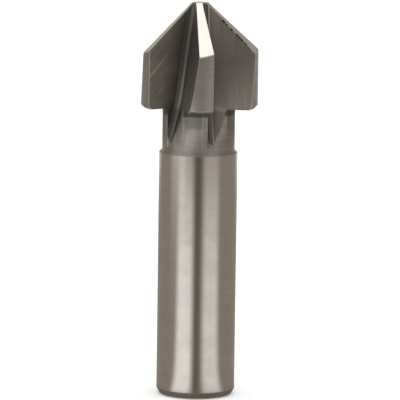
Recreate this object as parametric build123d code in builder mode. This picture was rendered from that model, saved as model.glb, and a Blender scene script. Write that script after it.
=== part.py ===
from build123d import *
import math
import os

# Countersink bit: one bar of high-speed steel with a shank, a neck and a five-flute head, standing on its
# shank end. The origin is the middle of the shank's end face and +Z runs up the tool axis to the tip.
# Sizes are in millimetres.

os.makedirs("parts", exist_ok=True)

# Turned blank
shank_diameter = 8.0
shank_length = 25.0
end_chamfer_height = 0.6
end_chamfer_width = 0.35
end_edge_radius = 0.3
neck_diameter = 7.4
neck_length = 4.65
head_diameter = 12.0
head_length = 6.0
head_chamfer = 0.3
tip_diameter = 1.66
point_angle = 96.0

# Teeth: each cutting edge lies in a plane through the axis, and the cone falls away behind it
tooth_count = 5
first_tooth_angle = -75.6
land_relief = 14.0

# Flutes: a wheel is fed from the tip towards the shank and away from the axis, then lifts off on its own
# radius. Its flat side grinds the cutting face, its bevelled rim the back of the tooth in front, and its
# rounded edge the bottom. The radius at the tip is taken where the cutting face and the back would meet.
flute_radius_at_tip = 0.58
feed_angle = 8.6
plain_neck = 0.25
wheel_radius = 25.0
wheel_edge_radius = 0.5
wheel_overrun = 2.0
lift_off_arc = 90.0
back_angle = 20.0

# Heights along the axis
shoulder_height = (shank_diameter - neck_diameter) / 2
neck_base = shank_length + shoulder_height
head_base = shank_length + neck_length
corner_height = head_base + head_length
half_point = math.radians(point_angle / 2)
tip_height = corner_height + (head_diameter - tip_diameter) / 2 / math.tan(half_point)

with BuildPart() as countersink_bit:
    with BuildSketch(Plane.XZ) as blank_profile:
        with BuildLine():
            Polyline(
                (0, 0),
                (shank_diameter / 2 - end_chamfer_width, 0),
                (shank_diameter / 2, end_chamfer_height),
                (shank_diameter / 2, shank_length),
                (neck_diameter / 2, neck_base),
                (neck_diameter / 2, head_base),
                (head_diameter / 2 - head_chamfer, head_base),
                (head_diameter / 2, head_base + head_chamfer),
                (head_diameter / 2, corner_height),
                (tip_diameter / 2, tip_height),
                (0, tip_height),
                close=True,
            )
        make_face()
        chamfer_ends = blank_profile.vertices().sort_by_distance((shank_diameter / 2, 0))[:2]
        fillet(chamfer_ends, radius=end_edge_radius)
    revolve(axis=Axis.Z)

# Land grinding: the lower face of a block holds one cutting edge and drops behind it
relief = math.radians(land_relief)
edge_direction = Vector(math.sin(half_point), 0, -math.cos(half_point))
cone_normal = Vector(math.cos(half_point), 0, math.sin(half_point))
land_normal = cone_normal * math.cos(relief) - Vector(0, math.sin(relief), 0)
land_plane = Plane(origin=(head_diameter / 2, 0, corner_height), x_dir=edge_direction, z_dir=land_normal)

with BuildPart() as land_pass:
    with BuildSketch(land_plane):
        Rectangle(head_diameter * 2, head_diameter * 2)
    extrude(amount=head_diameter)

# Feed line of the wheel's edge: it ends where an arc of the wheel's radius, tangent to it, leaves the neck's
# surface just above the shoulder
feed = math.radians(feed_angle)
feed_direction = Vector(math.sin(feed), 0, -math.cos(feed))
outwards = Vector(math.cos(feed), 0, math.sin(feed))
feed_start = Vector(flute_radius_at_tip, 0, tip_height)
leaving_point = Vector(neck_diameter / 2, 0, neck_base + plain_neck)
lift = (leaving_point - feed_start).dot(outwards)
lift_length = math.sqrt(2 * wheel_radius * lift - lift**2)
feed_length = (leaving_point - feed_start).dot(feed_direction) - lift_length
feed_end = feed_start + feed_direction * feed_length
wheel_plane = Plane(origin=feed_end, x_dir=(0, 1, 0), z_dir=feed_direction)
wheel_axis = Axis(feed_end + outwards * wheel_radius, (0, 1, 0))

# In the wheel's profile x is the distance in front of the cutting face, and y the distance outwards
with BuildPart() as wheel_pass:
    with BuildSketch(wheel_plane) as wheel_profile:
        with BuildLine():
            rim = PolarLine((0, 0), head_diameter, back_angle)
            Polyline(rim @ 1, ((rim @ 1).X, head_diameter), (0, head_diameter), (0, 0))
        make_face()
        wheel_edge = wheel_profile.vertices().sort_by_distance((0, 0))[0]
        fillet(wheel_edge, radius=wheel_edge_radius)
    extrude(amount=-feed_length - wheel_overrun)
    add(wheel_profile.sketch)
    revolve(axis=wheel_axis, revolution_arc=-lift_off_arc)

with countersink_bit:
    with PolarLocations(0, tooth_count, start_angle=first_tooth_angle):
        add(land_pass.part, mode=Mode.SUBTRACT)
        add(wheel_pass.part, mode=Mode.SUBTRACT)

countersink_bit.part.label = "countersink_bit"
export_step(countersink_bit.part, "parts/countersink_bit.step")
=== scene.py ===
import math

import bpy
from mathutils import Matrix, Vector


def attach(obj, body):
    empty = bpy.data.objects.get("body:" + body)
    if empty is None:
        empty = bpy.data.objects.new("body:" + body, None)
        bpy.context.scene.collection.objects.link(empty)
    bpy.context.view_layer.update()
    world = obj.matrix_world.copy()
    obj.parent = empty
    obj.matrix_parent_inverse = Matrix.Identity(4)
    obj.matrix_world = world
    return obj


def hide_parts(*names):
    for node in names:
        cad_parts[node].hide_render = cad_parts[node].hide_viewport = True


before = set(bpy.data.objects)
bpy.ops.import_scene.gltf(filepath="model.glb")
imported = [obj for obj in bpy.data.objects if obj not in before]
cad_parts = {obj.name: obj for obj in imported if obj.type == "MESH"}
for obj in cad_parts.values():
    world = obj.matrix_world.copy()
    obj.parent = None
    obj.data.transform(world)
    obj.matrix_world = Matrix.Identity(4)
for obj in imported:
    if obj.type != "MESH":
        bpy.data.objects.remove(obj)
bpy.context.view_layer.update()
print("frame loaded")

mm = 0.001

# what the tool was turned and ground to, in millimetres and degrees, as in the part's source
toolSizes = {
    "shankLength": 25.0,
    "footHeight": 0.7,
    "neckRadius": 3.7,
    "neckBase": 25.3,
    "headBase": 29.65,
    "headRadius": 6.0,
    "headChamfer": 0.3,
    "headShadowHeight": 35.65,
    "tipHeight": 40.305,
    "halfPoint": 48.0,
    "toothCount": 5,
    "firstToothAngle": -75.6,
    "landRelief": 14.0,
    "fluteRadiusAtTip": 0.58,
    "feedAngle": 8.6,
    "plainNeck": 0.25,
    "wheelRadius": 25.0,
}


# camera: a long lens a little above the head, turned slightly because the tool leans in the frame
view = {
    "distance": 0.450,
    "height": 0.08733,
    "pitch": 8.51,
    "roll": 0.766,
    "lens": 400.84,
    "shiftX": 0.0058,
    "shiftY": 0.0004,
}


def makeCamera():
    data = bpy.data.cameras.new("longLens")
    data.lens = view["lens"]
    data.sensor_width = 36.0
    data.shift_x = view["shiftX"]
    data.shift_y = view["shiftY"]
    camera = bpy.data.objects.new("camera", data)
    bpy.context.scene.collection.objects.link(camera)
    pitch, roll = math.radians(view["pitch"]), math.radians(view["roll"])
    ahead = Vector((0, math.cos(pitch), -math.sin(pitch)))
    level, upright = Vector((1, 0, 0)), Vector((0, math.sin(pitch), math.cos(pitch)))
    right = level * math.cos(roll) + upright * math.sin(roll)
    up = upright * math.cos(roll) - level * math.sin(roll)
    turn = Matrix((right, up, -ahead)).transposed().to_4x4()
    camera.matrix_world = Matrix.Translation((0, -view["distance"], view["height"])) @ turn
    bpy.context.scene.camera = camera


makeCamera()


def deselectAll():
    if bpy.context.object and bpy.context.object.mode != "OBJECT":
        bpy.ops.object.mode_set(mode="OBJECT")
    bpy.ops.object.select_all(action="DESELECT")


def makeActive(piece):
    deselectAll()
    piece.select_set(True)
    bpy.context.view_layer.objects.active = piece


def applyModifiers(piece):
    makeActive(piece)
    for modifier in list(piece.modifiers):
        bpy.ops.object.modifier_apply(modifier=modifier.name)


def addNode(tree, kind, place, **settings):
    node = tree.nodes.new(kind)
    node.location = place
    for name, value in settings.items():
        setattr(node, name, value)
    return node


def feed(tree, value, socket):
    # a number, a colour or another node's output goes into a socket
    if isinstance(value, bpy.types.NodeSocket):
        tree.links.new(value, socket)
    elif value is not None:
        socket.default_value = value


def calc(tree, place, operation, *values, clamp=False):
    node = addNode(tree, "ShaderNodeMath", place, operation=operation, use_clamp=clamp)
    for index, value in enumerate(values):
        feed(tree, value, node.inputs[index])
    return node.outputs[0]


def ramp(tree, place, value, fromLow, fromHigh, toLow=0.0, toHigh=1.0):
    node = addNode(tree, "ShaderNodeMapRange", place, clamp=True)
    for index, number in enumerate((value, fromLow, fromHigh, toLow, toHigh)):
        feed(tree, number, node.inputs[index])
    return node.outputs[0]


def blendColours(tree, place, factor, first, second, mode="MIX"):
    node = addNode(tree, "ShaderNodeMix", place, data_type="RGBA", blend_type=mode)
    feed(tree, factor, node.inputs[0])
    feed(tree, first, node.inputs[6])
    feed(tree, second, node.inputs[7])
    return node.outputs[2]


def joinVector(tree, place, x, y, z):
    node = addNode(tree, "ShaderNodeCombineXYZ", place)
    for index, value in enumerate((x, y, z)):
        feed(tree, value, node.inputs[index])
    return node.outputs[0]


def noise(tree, place, vector, scale=1.0, detail=3.0, roughness=0.55):
    node = addNode(tree, "ShaderNodeTexNoise", place)
    feed(tree, vector, node.inputs["Vector"])
    feed(tree, scale, node.inputs["Scale"])
    node.inputs["Detail"].default_value = detail
    node.inputs["Roughness"].default_value = roughness
    return node.outputs[0]


def newGroup(name, inputs, outputs):
    group = bpy.data.node_groups.new(name, "ShaderNodeTree")
    for socketName, value in inputs:
        kind = "NodeSocketVector" if isinstance(value, tuple) else "NodeSocketFloat"
        socket = group.interface.new_socket(name=socketName, in_out="INPUT", socket_type=kind)
        socket.default_value = value
    for socketName in outputs:
        group.interface.new_socket(name=socketName, in_out="OUTPUT", socket_type="NodeSocketFloat")
    given = addNode(group, "NodeGroupInput", (-1600, 0)).outputs
    result = addNode(group, "NodeGroupOutput", (1000, 0)).inputs
    return group, given, result


def toolPlace(tree):
    # x, y and z on the tool in millimetres
    place = addNode(tree, "ShaderNodeTexCoord", (-1600, 400))
    scaled = addNode(tree, "ShaderNodeVectorMath", (-1400, 400), operation="SCALE")
    feed(tree, place.outputs["Object"], scaled.inputs[0])
    scaled.inputs["Scale"].default_value = 1000.0
    split = addNode(tree, "ShaderNodeSeparateXYZ", (-1200, 400))
    feed(tree, scaled.outputs[0], split.inputs[0])
    return scaled.outputs[0], split.outputs


def makeTurningMarks():
    # fine lines that run round the tool axis
    group, given, result = newGroup("turningMarks", [("Lines per Millimetre", 12.0), ("Waver", 0.1)], ["Lines"])
    whole, (x, y, z) = toolPlace(group)
    waverX = calc(group, (-600, 400), "MULTIPLY", x, given["Waver"])
    waverY = calc(group, (-600, 250), "MULTIPLY", y, given["Waver"])
    lines = calc(group, (-600, 100), "MULTIPLY", z, given["Lines per Millimetre"])
    vector = joinVector(group, (-400, 200), waverX, waverY, lines)
    feed(group, noise(group, (-200, 200), vector, detail=4.0, roughness=0.65), result["Lines"])
    return group


def makeMottle():
    # uneven tone of handled steel: broad cloudy patches and small spots
    group, given, result = newGroup("mottle", [("Patch Size", 1.5), ("Spot Size", 0.14)], ["Patches", "Spots"])
    whole, axes = toolPlace(group)
    patchScale = calc(group, (-400, 200), "DIVIDE", 1.0, given["Patch Size"])
    spotScale = calc(group, (-400, 0), "DIVIDE", 1.0, given["Spot Size"])
    patches = noise(group, (-200, 300), whole, patchScale, detail=5.0)
    spots = noise(group, (-200, 0), whole, spotScale, detail=2.0)
    feed(group, ramp(group, (100, 300), patches, 0.35, 0.68), result["Patches"])
    feed(group, ramp(group, (100, 0), spots, 0.60, 0.72), result["Spots"])
    return group


# marks that the wheel left in the flutes, in millimetres
wheelMarks = {
    "streakStretch": 0.25,  # how fast the streaks change along the tool
    "hubOut": 21.5,  # the arcs on the cutting face run about a hub above and outside the head
    "hubUp": 50.0,
    # rim and foot: where the painted highlight lines lie, at the ends of the wheel's edge radius
    "rimPlace": 0.67,  # in front of the cutting face
    "rimWidth": (0.03, 0.07),  # bright out to the first, gone at the second
    "footPlace": 0.72,  # above the flute's bottom line
    "footWidth": (0.02, 0.05),
}


def makeFluteMarks():
    # streaks along the wheel's path, arcs on the cutting face, and the place of a point in its flute
    s, w = toolSizes, wheelMarks
    slope = math.radians(s["feedAngle"])
    start = Vector((s["fluteRadiusAtTip"], 0, s["tipHeight"]))
    along, away = Vector((math.sin(slope), 0, -math.cos(slope))), Vector((math.cos(slope), 0, math.sin(slope)))
    leaving = Vector((s["neckRadius"], 0, s["neckBase"] + s["plainNeck"]))
    lift = (leaving - start).dot(away)
    straight = (leaving - start).dot(along) - math.sqrt(2 * s["wheelRadius"] * lift - lift**2)
    pathEnd = start + along * straight
    hub = pathEnd + away * s["wheelRadius"]

    group, given, result = newGroup("fluteMarks", [("Streaks per Millimetre", 9.0), ("Arcs per Millimetre", 7.0)],
                                    ["Streaks", "Arcs", "Depth", "In Front", "Rim Highlight", "Foot Highlight"])
    whole, (x, y, z) = toolPlace(group)
    xSquared = calc(group, (-1150, 560), "MULTIPLY", x, x)
    ySquared = calc(group, (-1150, 440), "MULTIPLY", y, y)
    radius = calc(group, (-1000, 500), "SQRT", calc(group, (-1100, 500), "ADD", xSquared, ySquared))

    # the angle in front of the nearest cutting face, with a little slack so that the face itself counts
    slack = 0.02
    step = 2 * math.pi / s["toothCount"]
    turn = calc(group, (-1000, 300), "ARCTAN2", y, x)
    turn = calc(group, (-900, 300), "SUBTRACT", turn, math.radians(s["firstToothAngle"]) - slack)
    ahead = calc(group, (-850, 300), "FLOORED_MODULO", turn, step)
    ahead = calc(group, (-800, 300), "SUBTRACT", ahead, slack)
    outwards = calc(group, (-700, 500), "MULTIPLY", radius, calc(group, (-750, 450), "COSINE", ahead))
    inFront = calc(group, (-700, 300), "MULTIPLY", radius, calc(group, (-750, 250), "SINE", ahead))

    # the flute's bottom: a leaning line, and below its end an arc of the wheel's radius
    below = calc(group, (-750, 100), "SUBTRACT", start.z, z)
    line = calc(group, (-700, 100), "MULTIPLY_ADD", below, math.tan(slope), start.x)
    drop = calc(group, (-700, -50), "SUBTRACT", z, hub.z)
    dropSquared = calc(group, (-650, -50), "MULTIPLY", drop, drop)
    under = calc(group, (-600, -50), "SUBTRACT", s["wheelRadius"] ** 2, dropSquared)
    arc = calc(group, (-500, -50), "SUBTRACT", hub.x, calc(group, (-550, -50), "SQRT", under))
    past = calc(group, (-500, -200), "LESS_THAN", z, pathEnd.z)
    before = calc(group, (-500, -260), "SUBTRACT", 1.0, past)
    bottom = calc(group, (-400, 0), "ADD", calc(group, (-450, 60), "MULTIPLY", arc, past),
                  calc(group, (-450, -60), "MULTIPLY", line, before))
    depth = calc(group, (-300, 200), "SUBTRACT", outwards, bottom)

    streakVector = joinVector(group, (-100, 300),
                              calc(group, (-200, 380), "MULTIPLY", depth, given["Streaks per Millimetre"]),
                              calc(group, (-200, 260), "MULTIPLY", inFront, given["Streaks per Millimetre"]),
                              calc(group, (-200, 140), "MULTIPLY", z, w["streakStretch"]))
    feed(group, noise(group, (100, 300), streakVector, detail=4.0, roughness=0.6), result["Streaks"])

    hubSide = calc(group, (-300, -60), "SUBTRACT", outwards, w["hubOut"])
    hubRise = calc(group, (-300, -160), "SUBTRACT", z, w["hubUp"])
    sideSquared = calc(group, (-250, -60), "POWER", hubSide, 2.0)
    riseSquared = calc(group, (-250, -160), "POWER", hubRise, 2.0)
    reach = calc(group, (-100, -100), "SQRT", calc(group, (-150, -100), "ADD", sideSquared, riseSquared))
    arcVector = joinVector(group, (0, -200),
                           calc(group, (-50, -100), "MULTIPLY", reach, given["Arcs per Millimetre"]),
                           calc(group, (-50, -240), "MULTIPLY", outwards, 0.35),
                           calc(group, (-50, -360), "MULTIPLY", turn, 0.5))
    feed(group, noise(group, (200, -100), arcVector, detail=4.0, roughness=0.6), result["Arcs"])
    feed(group, depth, result["Depth"])
    feed(group, inFront, result["In Front"])

    # where the wheel's edge radius ends, a fine bright line is painted as a highlight on the back of the flute
    # and another on the cutting face
    rimOff = calc(group, (300, 500), "ABSOLUTE", calc(group, (250, 500), "SUBTRACT", inFront, w["rimPlace"]))
    feed(group, ramp(group, (500, 500), rimOff, *w["rimWidth"], 1.0, 0.0), result["Rim Highlight"])
    footOff = calc(group, (300, -400), "ABSOLUTE", calc(group, (250, -400), "SUBTRACT", depth, w["footPlace"]))
    feed(group, ramp(group, (500, -400), footOff, *w["footWidth"], 1.0, 0.0), result["Foot Highlight"])
    return group


def vectorCalc(tree, place, operation, first, second=None):
    node = addNode(tree, "ShaderNodeVectorMath", place, operation=operation)
    feed(tree, first, node.inputs[0])
    feed(tree, second, node.inputs[1])
    return node.outputs["Value"] if operation in ("LENGTH", "DOT_PRODUCT") else node.outputs["Vector"]


def makeScratch():
    # one fine scratch between two places on the tool, given in millimetres
    inputs = [("Start", (0.0, 0.0, 0.0)), ("End", (1.0, 0.0, 0.0)), ("Width", 0.04)]
    group, given, result = newGroup("scratch", inputs, ["Mark"])
    whole, axes = toolPlace(group)
    run = vectorCalc(group, (-900, 200), "SUBTRACT", given["End"], given["Start"])
    length = vectorCalc(group, (-700, 100), "LENGTH", run)
    heading = vectorCalc(group, (-700, 250), "NORMALIZE", run)
    offset = vectorCalc(group, (-700, 400), "SUBTRACT", whole, given["Start"])
    along = vectorCalc(group, (-500, 400), "DOT_PRODUCT", offset, heading)
    across = vectorCalc(group, (-500, 250), "CROSS_PRODUCT", offset, heading)
    away = vectorCalc(group, (-300, 250), "LENGTH", across)
    share = calc(group, (-300, 450), "DIVIDE", along, length)
    fadeIn = ramp(group, (-100, 500), share, 0.0, 0.1)
    fadeOut = ramp(group, (-100, 350), share, 0.85, 1.0, 1.0, 0.0)
    ends = calc(group, (100, 450), "MULTIPLY", fadeIn, fadeOut)
    side = ramp(group, (-100, 150), calc(group, (-200, 150), "DIVIDE", away, given["Width"]), 0.4, 1.0, 1.0, 0.0)
    feed(group, calc(group, (300, 300), "MULTIPLY", ends, side), result["Mark"])
    return group


turningMarks = makeTurningMarks()
scratch = makeScratch()
mottle = makeMottle()
fluteMarks = makeFluteMarks()


def placeGroup(tree, group, place, **values):
    node = addNode(tree, "ShaderNodeGroup", place, node_tree=group)
    for name, value in values.items():
        node.inputs[name].default_value = value
    return node.outputs


def startMaterial(name, look):
    material = bpy.data.materials.new(name)
    material.use_nodes = True
    shader = material.node_tree.nodes["Principled BSDF"]
    shader.inputs["Metallic"].default_value = 1.0
    shader.inputs["Anisotropic"].default_value = look["anisotropy"]
    shader.inputs["Anisotropic Rotation"].default_value = 0.25
    return material, material.node_tree, shader


noiseSpan = (0.32, 0.68)  # most of a noise lies between these
patchRoughness = 0.04  # added to the roughness in the cloudy patches
# the colour of scratches and of painted highlight lines
scratchAndHighlightColour = (0.70, 0.675, 0.65, 1)


def finishMaterial(tree, shader, look, marks, patches, spots, shade=None, line=None):
    # marks vary the tone, the roughness and the surface, and patches and spots stain it;
    # painted shade darkens corners and flute bottoms, and scratches and painted highlight lines are bright
    tone = ramp(tree, (-600, 300), marks, *noiseSpan)
    colour = blendColours(tree, (-400, 300), tone, look["dark"], look["light"])
    patchShare = calc(tree, (-400, 100), "MULTIPLY", patches, look["patches"])
    colour = blendColours(tree, (-200, 300), patchShare, colour, look["stain"])
    spotShare = calc(tree, (-200, 100), "MULTIPLY", spots, look["spots"])
    colour = blendColours(tree, (0, 300), spotShare, colour, look["stain"])
    if shade is not None:
        colour = blendColours(tree, (100, 300), 1.0, colour, shade, mode="MULTIPLY")
    if line is not None:
        colour = blendColours(tree, (150, 300), line, colour, scratchAndHighlightColour)
    feed(tree, colour, shader.inputs["Base Color"])
    smoothest, roughest = look["roughness"] - look["spread"], look["roughness"] + look["spread"]
    rough = ramp(tree, (-400, -100), marks, *noiseSpan, smoothest, roughest)
    rough = calc(tree, (-200, -100), "MULTIPLY_ADD", patches, patchRoughness, rough)
    feed(tree, rough, shader.inputs["Roughness"])
    bump = addNode(tree, "ShaderNodeBump", (-200, -300))
    bump.inputs["Strength"].default_value = look["bump"]
    bump.inputs["Distance"].default_value = look["markDepth"] * mm
    feed(tree, marks, bump.inputs["Height"])
    feed(tree, bump.outputs[0], shader.inputs["Normal"])


# finishes worked round the axis: colours are linear, lines are counted per millimetre, depths are in millimetres
turnedFinishes = {
    "groundShank": {
        "dark": (0.585, 0.54, 0.50, 1), "light": (0.635, 0.59, 0.55, 1), "stain": (0.46, 0.425, 0.39, 1),
        "patches": 0.25, "spots": 0.10, "lines": 14.0, "waver": 0.10, "roughness": 0.17, "spread": 0.02,
        "anisotropy": 0.4, "bump": 0.08, "markDepth": 0.01,
    },
    "turnedNeck": {
        "dark": (0.36, 0.335, 0.312, 1), "light": (0.49, 0.457, 0.426, 1), "stain": (0.30, 0.278, 0.257, 1),
        "patches": 0.5, "spots": 0.2, "lines": 5.0, "waver": 0.08, "roughness": 0.43, "spread": 0.05,
        # the neck's last two values make a band of painted shadow under the head: how far below the head it
        # starts, and how dark it is
        "anisotropy": 0.3, "bump": 0.35, "markDepth": 0.02, "headShadowHeight": 0.72, "paintedHeadShadow": 0.36,
    },
    "groundMargin": {
        "dark": (0.40, 0.372, 0.344, 1), "light": (0.485, 0.452, 0.42, 1), "stain": (0.28, 0.26, 0.24, 1),
        "patches": 0.35, "spots": 0.5, "lines": 9.0, "waver": 0.3, "roughness": 0.42, "spread": 0.05,
        "anisotropy": 0.2, "bump": 0.12, "markDepth": 0.01,
    },
    "groundLand": {
        "dark": (0.385, 0.354, 0.320, 1), "light": (0.435, 0.403, 0.368, 1), "stain": (0.33, 0.30, 0.27, 1),
        "patches": 0.2, "spots": 0.1, "lines": 10.0, "waver": 0.4, "roughness": 0.28, "spread": 0.03,
        "anisotropy": 0.0, "bump": 0.03, "markDepth": 0.006,
    },
    # a narrow chamfer on the edges; its colour, lighter than the faces beside it, is a painted highlight along
    # the edge
    "brokenEdgeAndHighlight": {
        "dark": (0.60, 0.564, 0.528, 1), "light": (0.72, 0.68, 0.64, 1), "stain": (0.50, 0.468, 0.436, 1),
        "patches": 0.3, "spots": 0.1, "lines": 9.0, "waver": 0.3, "roughness": 0.36, "spread": 0.04,
        "anisotropy": 0.0, "bump": 0.05, "markDepth": 0.01,
    },
    # the faces of the chips cut out of the heel: near black as painted shade inside the chips
    "chipPaintedShade": {
        "dark": (0.03, 0.027, 0.024, 1), "light": (0.07, 0.063, 0.056, 1), "stain": (0.03, 0.027, 0.024, 1),
        "patches": 0.3, "spots": 0.3, "lines": 9.0, "waver": 9.0, "roughness": 0.60, "spread": 0.05,
        "anisotropy": 0.0, "bump": 0.3, "markDepth": 0.02,
    },
}


def makeTurnedFinish(name):
    look = turnedFinishes[name]
    material, tree, shader = startMaterial(name, look)
    lines = placeGroup(tree, turningMarks, (-900, 200),
                       **{"Lines per Millimetre": look["lines"], "Waver": look["waver"]})
    cloud = placeGroup(tree, mottle, (-900, 0))
    shade = None
    if "paintedHeadShadow" in look:
        # painted shadow: the neck is darker for a short way under the head
        whole, (x, y, z) = toolPlace(tree)
        low = toolSizes["headBase"] - look["headShadowHeight"]
        under = ramp(tree, (-900, 600), z, low, low + 0.1, 1.0, look["paintedHeadShadow"])
        shade = joinVector(tree, (-700, 600), under, under, under)
    finishMaterial(tree, shader, look, lines["Lines"], cloud["Patches"], cloud["Spots"], shade)
    return material


# a flute gets painted shade at its bottom, between "bottomFrom" and "bottomTo" measured "across" it, and painted
# light and shade that change between the first two heights and again between the last two; all of these are in
# millimetres
fluteFinishes = {
    "groundFlute": {
        "marks": "Streaks", "highlightMask": "Rim Highlight", "line": 0.75,
        "scratches": [],
        "dark": (0.48, 0.447, 0.414, 1), "light": (0.58, 0.542, 0.504, 1), "stain": (0.36, 0.335, 0.309, 1),
        "patches": 0.2, "spots": 0.45, "roughness": 0.38, "spread": 0.04,
        "anisotropy": 0.0, "bump": 0.12, "markDepth": 0.01,
        "across": "In Front", "bottomFrom": 0.5, "bottomTo": 1.0, "bottomShade": 0.58,
        "heights": (29.3, 29.9, 30.8, 34.5), "lowShade": 0.58, "highShade": 0.60,
    },
    "groundFace": {
        "marks": "Arcs", "highlightMask": "Foot Highlight", "line": 0.5,
        "scratches": [((-5.15, -3.27, 32.8), (-3.45, -2.19, 34.85))],
        "dark": (0.31, 0.287, 0.262, 1), "light": (0.43, 0.40, 0.37, 1), "stain": (0.22, 0.203, 0.186, 1),
        "patches": 0.4, "spots": 0.4, "roughness": 0.38, "spread": 0.05,
        "anisotropy": 0.0, "bump": 0.2, "markDepth": 0.01,
        "across": "Depth", "bottomFrom": 0.7, "bottomTo": 2.6, "bottomShade": 0.38,
        "heights": (30.5, 33.5, 35.0, 39.0), "lowShade": 0.70, "highShade": 1.15,
    },
}


def makeFluteFinish(name):
    look = fluteFinishes[name]
    material, tree, shader = startMaterial(name, look)
    marks = placeGroup(tree, fluteMarks, (-900, 200))
    cloud = placeGroup(tree, mottle, (-900, 0))
    whole, (x, y, z) = toolPlace(tree)
    lowFrom, lowTo, highFrom, highTo = look["heights"]
    # painted shade at the flute's bottom, and painted light and shade that change with height
    bottom = ramp(tree, (-900, 600), marks[look["across"]], look["bottomFrom"], look["bottomTo"],
                  look["bottomShade"], 1.0)
    lower = ramp(tree, (-900, 900), z, lowFrom, lowTo, look["lowShade"], 1.0)
    upper = ramp(tree, (-900, 1200), z, highFrom, highTo, 1.0, look["highShade"])
    tone = calc(tree, (-700, 800), "MULTIPLY", calc(tree, (-800, 900), "MULTIPLY", lower, upper), bottom)
    shade = joinVector(tree, (-700, 600), tone, tone, tone)
    # painted highlight lines, with the scratches added to them
    line = calc(tree, (-700, -200), "MULTIPLY", marks[look["highlightMask"]], look["line"])
    for number, (start, end) in enumerate(look["scratches"]):
        mark = placeGroup(tree, scratch, (-900, -400 - 200 * number), Start=start, End=end)["Mark"]
        line = calc(tree, (-600, -400 - 200 * number), "MAXIMUM", line, mark)
    finishMaterial(tree, shader, look, marks[look["marks"]], cloud["Patches"], cloud["Spots"], shade, line)
    return material


materials = {name: makeTurnedFinish(name) for name in turnedFinishes}
materials.update({name: makeFluteFinish(name) for name in fluteFinishes})
print("finishes made")


bitDetail = {
    "mergeDistance": 0.0005,  # millimetres
    "sliverSize": 0.002,  # millimetres; smaller edges that the cuts leave are merged away
    "flatAngle": 0.3,  # degrees between faces that are one plane
    "edgeWidth": 0.06,  # millimetres off the heels and corners; half as much off the cutting edges
    "edgeAngle": 25.0,
    "tipClear": 0.3,  # millimetres below the tip where the edges stay as they were ground
    "smoothAngle": 30.0,
    "chipSector": (-45, -5),  # degrees from the right-hand cutting edge
    "chipTurn": 1.3,  # radians between one chip's lump and the next
    # chips along the heel of the right-hand land: height, length and depth in millimetres
    "chips": [
        (38.51, 0.42, 0.14), (38.2, 0.24, 0.10), (37.72, 0.36, 0.13), (37.15, 0.46, 0.16), (36.93, 0.30, 0.15),
        (36.69, 0.40, 0.13), (36.33, 0.34, 0.12),
    ],
}


closeBy = 0.05  # millimetres
squarely = 0.99  # cosine between a face's normal and the way it should face


def finishOf(centre, normal):
    # the finish of a face, from its place in millimetres and its normal
    s = toolSizes
    radius = math.hypot(centre.x, centre.y)
    facing = (centre.x * normal.x + centre.y * normal.y) / max(radius, 1e-6)
    if centre.z < s["footHeight"]:
        return "turnedNeck"
    if centre.z < s["shankLength"]:
        return "groundShank"
    if centre.z < s["neckBase"]:
        return "turnedNeck"
    if normal.z < -0.95 and abs(centre.z - s["headBase"]) < closeBy:
        return "turnedNeck"
    if centre.z < s["headBase"] and facing > squarely and radius > s["neckRadius"] - closeBy:
        return "turnedNeck"
    if facing > squarely and radius > s["headRadius"] - closeBy and centre.z < s["headShadowHeight"]:
        return "groundMargin"
    if centre.z < s["headBase"] + s["headChamfer"] and facing > 0.6 and abs(normal.z + facing) < 0.1:
        return "groundMargin"
    landTilt = math.cos(math.radians(s["landRelief"])) * math.sin(math.radians(s["halfPoint"]))
    if abs(normal.z - landTilt) < 0.02 or normal.z > 0.98:
        return "groundLand"
    # the cutting faces lie in planes through the axis
    step = 2 * math.pi / s["toothCount"]
    turn = (math.atan2(centre.y, centre.x) - math.radians(s["firstToothAngle"])) % step
    inFront = radius * math.sin(min(turn, step - turn))
    sideways = abs(centre.x * normal.y - centre.y * normal.x) / max(radius, 1e-6)
    if inFront < 0.02 and sideways > squarely:
        return "groundFace"
    return "groundFlute"


def edgeFaces(mesh):
    # the faces on each edge
    sides = {}
    for face in mesh.polygons:
        for key in face.edge_keys:
            sides.setdefault(key, []).append(face)
    return sides


def markEdges(bit):
    # weights for the bevel: the edges of the lands and margins, up to just below the tip
    names = list(materials)
    weights = bit.data.attributes.new("bevel_weight_edge", "FLOAT", "EDGE")
    sides = edgeFaces(bit.data)
    for edge in bit.data.edges:
        faces = sides[edge.key]
        if len(faces) != 2 or faces[0].normal.angle(faces[1].normal, 0) < math.radians(bitDetail["edgeAngle"]):
            continue
        low, high = sorted(bit.data.vertices[index].co.z / mm for index in edge.vertices)
        pair = {names[face.material_index] for face in faces}
        outside, inside = pair & {"groundMargin", "groundLand"}, pair & {"groundFlute", "groundFace"}
        onLand = len(outside) == 2 or (outside and inside)
        if onLand and low > toolSizes["headBase"] and high < toolSizes["tipHeight"] - bitDetail["tipClear"]:
            weights.data[edge.index].value = 0.5 if "groundFace" in pair else 1.0


def heelPoints(bit):
    # the heel of each chip's land, found on the mesh
    names = list(materials)
    sides = edgeFaces(bit.data)
    heel = []
    toothStep = 360 / toolSizes["toothCount"]
    nearest, farthest = bitDetail["chipSector"]
    for edge in bit.data.edges:
        pair = {names[face.material_index] for face in sides[edge.key]}
        ends = [bit.data.vertices[index].co.copy() for index in edge.vertices]
        middle = (ends[0] + ends[1]) / 2
        turn = math.degrees(math.atan2(middle.y, middle.x)) - toolSizes["firstToothAngle"] - toothStep
        if pair == {"groundLand", "groundFlute"} and nearest < turn < farthest:
            heel.append(sorted(ends, key=lambda point: point.z))
    points = []
    for height, length, depth in bitDetail["chips"]:
        for low, high in heel:
            if low.z <= height * mm <= high.z:
                share = (height * mm - low.z) / (high.z - low.z)
                points.append((low.lerp(high, share), (high - low).normalized(), length, depth))
                break
    return points


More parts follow.
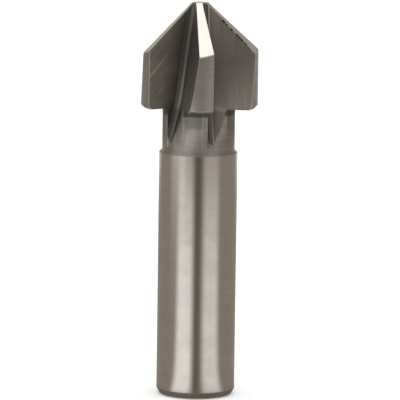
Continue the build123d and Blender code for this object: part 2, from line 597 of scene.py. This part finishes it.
def cutChips(bit, points):
    # a rough little lump is taken out of the heel at each chip
    lumps = []
    for number, (point, along, length, depth) in enumerate(points):
        deselectAll()
        bpy.ops.mesh.primitive_ico_sphere_add(subdivisions=2, radius=depth * mm, location=(0, 0, 0))
        lump = bpy.context.object
        lump.scale = (1.0, 1.0, length / depth / 2)
        lean = along.to_track_quat("Z", "Y")
        spin = Matrix.Rotation(number * bitDetail["chipTurn"], 3, "Z").to_quaternion()
        lump.rotation_euler = (lean @ spin).to_euler()
        lump.location = point
        bpy.ops.object.transform_apply(location=True, rotation=True, scale=True)
        # the chip's faces take a near-black colour, painted shade inside the chip
        lump.data.materials.append(materials["chipPaintedShade"])
        cut = bit.modifiers.new("chip", "BOOLEAN")
        cut.operation = "DIFFERENCE"
        cut.solver = "EXACT"
        cut.material_mode = "TRANSFER"
        cut.object = lump
        lumps.append(lump)
    applyModifiers(bit)
    for lump in lumps:
        bpy.data.objects.remove(lump)


def sharpenBrokenEdges(bit):
    # the broken edges are shaded apart from the faces beside them
    names = list(materials)
    sides = edgeFaces(bit.data)
    for edge in bit.data.edges:
        pair = {names[face.material_index] for face in sides[edge.key]}
        if len(pair) > 1 and "brokenEdgeAndHighlight" in pair:
            edge.use_edge_sharp = True


def makeBit():
    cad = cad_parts["countersink_bit"]
    bit = bpy.data.objects.new("steelBit", cad.data.copy())
    bpy.context.scene.collection.objects.link(bit)
    bit.data.materials.clear()
    for material in materials.values():
        bit.data.materials.append(material)
    makeActive(bit)
    bpy.ops.object.mode_set(mode="EDIT")
    bpy.ops.mesh.select_all(action="SELECT")
    bpy.ops.mesh.remove_doubles(threshold=bitDetail["mergeDistance"] * mm)
    bpy.ops.mesh.dissolve_limited(angle_limit=math.radians(bitDetail["flatAngle"]))
    bpy.ops.object.mode_set(mode="OBJECT")
    slots = {name: index for index, name in enumerate(materials)}
    for face in bit.data.polygons:
        face.material_index = slots[finishOf(face.center / mm, face.normal)]
    points = heelPoints(bit)
    cutChips(bit, points)
    markEdges(bit)
    edge = bit.modifiers.new("brokenEdges", "BEVEL")
    edge.width = bitDetail["edgeWidth"] * mm
    edge.segments = 1
    edge.limit_method = "WEIGHT"
    edge.material = slots["brokenEdgeAndHighlight"]
    edge.use_clamp_overlap = False
    applyModifiers(bit)
    bpy.ops.object.mode_set(mode="EDIT")
    bpy.ops.mesh.select_all(action="SELECT")
    bpy.ops.mesh.remove_doubles(threshold=bitDetail["mergeDistance"] * mm)
    bpy.ops.mesh.dissolve_degenerate(threshold=bitDetail["sliverSize"] * mm)
    bpy.ops.object.mode_set(mode="OBJECT")
    bpy.ops.object.shade_smooth_by_angle(angle=math.radians(bitDetail["smoothAngle"]))
    sharpenBrokenEdges(bit)
    even = bit.modifiers.new("evenShading", "WEIGHTED_NORMAL")
    even.keep_sharp = True
    applyModifiers(bit)
    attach(bit, "root")
    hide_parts("countersink_bit")
    print("chips cut:", len(points))
    return bit


bit = makeBit()
print("bit made:", len(bit.data.polygons), "faces")


studio = {
    "floorSize": 6.0,
    "floorColour": (0.82, 0.82, 0.82, 1),
    "floorLift": 0.25,  # white added to the floor for the lens, metal and glass
    "boxSize": 2.4,
    "boxHeight": 1.4,
    "boxPower": 33.0,
    "fill": 0.25,  # the world's level for the light that falls on surfaces
}


def seenShare(tree, place):
    # 1 for what the lens, metal and glass see, 0 for the light that falls on surfaces
    path = addNode(tree, "ShaderNodeLightPath", (place[0] - 400, place[1]))
    cameraRay, glossyRay = path.outputs["Is Camera Ray"], path.outputs["Is Glossy Ray"]
    either = calc(tree, (place[0] - 200, place[1]), "MAXIMUM", cameraRay, glossyRay)
    return calc(tree, place, "MAXIMUM", either, path.outputs["Is Transmission Ray"])


def makeFloor():
    deselectAll()
    bpy.ops.mesh.primitive_plane_add(size=studio["floorSize"], location=(0, 0, 0))
    floor = bpy.context.object
    floor.name = "paleFloor"
    material = bpy.data.materials.new("palePaper")
    material.use_nodes = True
    tree = material.node_tree
    shader = tree.nodes["Principled BSDF"]
    shader.inputs["Roughness"].default_value = 0.9
    shader.inputs["Base Color"].default_value = studio["floorColour"]
    shader.inputs["Specular IOR Level"].default_value = 0.0
    shader.inputs["Emission Color"].default_value = (1, 1, 1, 1)
    lift = calc(tree, (-200, -300), "MULTIPLY", seenShare(tree, (-400, -300)), studio["floorLift"])
    feed(tree, lift, shader.inputs["Emission Strength"])
    floor.data.materials.append(material)


def makeWorld():
    world = bpy.data.worlds.new("studioWorld")
    bpy.context.scene.world = world
    world.use_nodes = True
    tree = world.node_tree
    background = tree.nodes["Background"]
    background.inputs["Color"].default_value = (1, 1, 1, 1)
    strength = ramp(tree, (-200, 0), seenShare(tree, (-400, 0)), 0.0, 1.0, studio["fill"], 1.0)
    feed(tree, strength, background.inputs["Strength"])


# plain cards that stand round the tool and lie on the floor at its foot, in metres; only the metal sees them
cards = {
    "ringRadius": 0.25,
    "ringHeight": 0.6,
    "ringLift": 0.0001,  # keeps the cards off the floor
    "topStart": 0.16,
    "lowRadius": 0.158,  # the shank sees the floor inside this, the neck and head what lies beyond
    "shadeRadius": 0.0068,  # the tool's own shadow
    "innerRadius": 0.0033,
    "turnStep": 2,  # degrees
    "top": 0.4,
    "grey": 0.3,
    "shade": 0.25,
    "softEdge": 15,  # degrees
    # panels: the middle and width in degrees round from the front, positive to the right, and the level
    "floorPanels": [(-35, 45, 1.2), (40, 45, 1.0), (0, 20, 0.15)],
    "wallPanels": [(-60, 45, 0.7), (0, 30, 0.1), (180, 75, 0.7)],
}


def cardTone(level):
    # dim cards are a little warmer than bright ones
    warmth = max(0.0, min(1.0, (0.85 - level) / 0.5))
    return level * (1 + 0.10 * warmth), level, level * (1 - 0.12 * warmth), 1.0


def levelAt(turn, panels):
    # each panel fades into the grey over its soft edge
    level = cards["grey"]
    for middle, width, bright in panels:
        off = abs((turn - middle + 180) % 360 - 180)
        share = (width / 2 - off) / cards["softEdge"] + 0.5
        level += (bright - cards["grey"]) * max(0.0, min(1.0, share))
    return level


def cardMaterial():
    material = bpy.data.materials.new("studioCard")
    material.use_nodes = True
    tree = material.node_tree
    tree.nodes.remove(tree.nodes["Principled BSDF"])
    glow = addNode(tree, "ShaderNodeEmission", (0, 0))
    tone = addNode(tree, "ShaderNodeAttribute", (-200, 0), attribute_name="tone")
    feed(tree, tone.outputs["Color"], glow.inputs["Color"])
    feed(tree, glow.outputs[0], tree.nodes["Material Output"].inputs["Surface"])
    return material


def makeCards():
    deselectAll()
    bpy.ops.mesh.primitive_cylinder_add(vertices=360 // cards["turnStep"], radius=cards["ringRadius"],
                                        depth=cards["ringHeight"], end_fill_type="NOTHING",
                                        location=(0, 0, cards["ringHeight"] / 2 + cards["ringLift"]))
    ring = bpy.context.object
    ring.name = "studioCards"
    bpy.ops.object.transform_apply(location=True, rotation=True, scale=True)
    bpy.ops.object.mode_set(mode="EDIT")
    bpy.ops.mesh.select_all(action="SELECT")
    bpy.ops.mesh.bisect(plane_co=(0, 0, cards["topStart"]), plane_no=(0, 0, 1))
    bpy.ops.mesh.select_all(action="DESELECT")
    bpy.ops.object.mode_set(mode="OBJECT")
    turns = ring.data.attributes.new("turn", "FLOAT", "FACE")
    for face in ring.data.polygons:
        turns.data[face.index].value = math.degrees(math.atan2(face.center.x, -face.center.y))
    low = {vertex.index for vertex in ring.data.vertices if vertex.co.z < 2 * cards["ringLift"]}
    for vertex in ring.data.vertices:
        vertex.select = vertex.index in low
    for edge in ring.data.edges:
        edge.select = set(edge.vertices) <= low
    bpy.ops.object.mode_set(mode="EDIT")
    bpy.ops.mesh.select_mode(type="EDGE")
    reach = cards["ringRadius"]
    for radius in (cards["lowRadius"], cards["shadeRadius"], cards["innerRadius"]):
        bpy.ops.mesh.extrude_edges_move()
        bpy.ops.transform.resize(value=(radius / reach, radius / reach, 1))
        reach = radius
    bpy.ops.object.mode_set(mode="OBJECT")
    turns = ring.data.attributes["turn"]
    tones = ring.data.color_attributes.new("tone", "FLOAT_COLOR", "CORNER")
    for face in ring.data.polygons:
        out = face.center.to_2d().length
        if out < cards["shadeRadius"]:
            level = cards["shade"]
        elif face.center.z > cards["topStart"]:
            level = cards["top"]
        else:
            panels = cards["floorPanels"] if out < cards["lowRadius"] else cards["wallPanels"]
            level = levelAt(turns.data[face.index].value, panels)
        for corner in face.loop_indices:
            tones.data[corner].color = cardTone(level)
    ring.data.materials.append(cardMaterial())
    ring.visible_camera = False
    ring.visible_diffuse = False
    ring.visible_transmission = False
    ring.visible_volume_scatter = False
    ring.visible_shadow = False


def makeSoftBox():
    lamp = bpy.data.lights.new("softBox", "AREA")
    lamp.shape = "SQUARE"
    lamp.size = studio["boxSize"]
    lamp.energy = studio["boxPower"]
    holder = bpy.data.objects.new("softBox", lamp)
    holder.location = (0, 0, studio["boxHeight"])
    bpy.context.scene.collection.objects.link(holder)


makeFloor()
makeWorld()
makeCards()
makeSoftBox()
print("studio made")

bpy.context.scene.view_settings.view_transform = "Standard"
